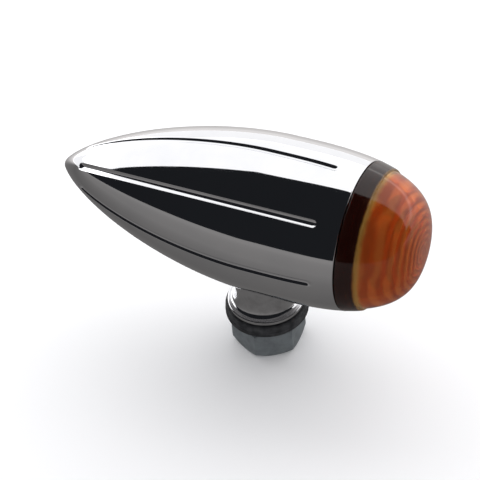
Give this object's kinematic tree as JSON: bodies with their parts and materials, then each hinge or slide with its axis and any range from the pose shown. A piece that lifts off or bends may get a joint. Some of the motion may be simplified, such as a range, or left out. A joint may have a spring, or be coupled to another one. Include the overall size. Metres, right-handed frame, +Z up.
{
  "type": "turn signal indicator",
  "caption": "Bullet-shaped motorcycle turn signal: fluted chrome body, amber push-fit lens, bayonet lamp, and a neck with a hollow bolt, rubber washer and hex nut.",
  "frame": {"origin": "centre of the neck flange's underside, on the mounting bolt's axis, where the part sits on a bracket", "axes": "+X along the body towards the lens, +Z up out of the bracket, symmetric about the XZ plane apart from the nut's turn and the screw-like details"},
  "size_m": [0.1094, 0.0444, 0.0711],
  "materials": {
    "body_chrome": "polished chrome plate on a zinc die casting",
    "neck_chrome": "polished chrome plate",
    "gasket_rubber": "thin moulded rubber, matt black",
    "bolt_steel": "zinc plated steel, turned",
    "grommet_rubber": "soft black rubber",
    "reflector_aluminium": "spun and bright dipped",
    "screw_steel": "zinc plated",
    "socket_nickel": "nickel plated pressed steel",
    "spring_steel": "spring steel",
    "fibre_board": "brown pressed fibre board",
    "terminal_brass": "plain brass",
    "bulb_brass": "plain brass, lightly tarnished",
    "black_glass": "opaque black vitrite glass",
    "solder": "soft solder",
    "bulb_clear_glass": "clear blown glass",
    "support_nickel": "nickel wire",
    "tungsten": "drawn tungsten wire",
    "amber_lens": "transparent amber moulded plastic",
    "seal_rubber": "black nitrile o-ring",
    "washer_rubber": "moulded black rubber",
    "nut_zinc": "zinc plated, dull blue grey"
  },
  "bodies": {
    "body": {"housing": "body_chrome", "stem": "neck_chrome", "stem_gasket": "gasket_rubber", "hollow_bolt": "bolt_steel", "lock_washer": "bolt_steel", "wire_grommet": "grommet_rubber", "reflector": "reflector_aluminium", "reflector_screw_1": "screw_steel", "reflector_screw_2": "screw_steel", "socket_shell": "socket_nickel", "socket_clip": "spring_steel", "terminal_board": "fibre_board", "feed_terminal": "terminal_brass", "ground_terminal": "terminal_brass", "contact_spring": "spring_steel"},
    "contact": {"contact_disc": "fibre_board", "contact_button": "terminal_brass"},
    "bulb": {"bulb_base": "bulb_brass", "bulb_insulator": "black_glass", "bulb_contact": "solder", "bulb_glass": "bulb_clear_glass", "bulb_mount": "bulb_clear_glass", "bulb_support_1": "support_nickel", "bulb_support_2": "support_nickel", "bulb_filament": "tungsten"},
    "lens": {"lens": "amber_lens", "lens_seal": "seal_rubber"},
    "washer": {"rubber_washer": "washer_rubber"},
    "nut": {"hex_nut": "nut_zinc"}
  },
  "joints": [
    {"name": "lens_pull", "type": "slide", "parent": "body", "child": "lens", "axis": [1, 0, 0], "range_m": [0, 0.045]},
    {"name": "contact_press", "type": "slide", "parent": "body", "child": "contact", "axis": [-1, 0, 0], "range_m": [0, 0.0025], "stiffness_N_per_m": 1500, "springref_m": -0.003, "deforming": ["contact_spring"]},
    {"name": "bulb_turn", "type": "hinge", "parent": "contact", "child": "bulb", "pos_m": [0, 0, 0.0344], "axis": [1, 0, 0], "range_deg": [0, 15]},
    {"name": "washer_drop", "type": "slide", "parent": "body", "child": "washer", "axis": [0, 0, -1], "range_m": [0, 0.0106]},
    {"name": "nut_turn", "type": "hinge", "parent": "washer", "child": "nut", "pos_m": [0, 0, -0.0145], "axis": [0, 0, -1], "range_deg": [0, 2520]}
  ],
  "couplings": [
    {"joint": "washer_drop", "follows": "nut_turn", "m_per_rad": 0.00023873}
  ]
}
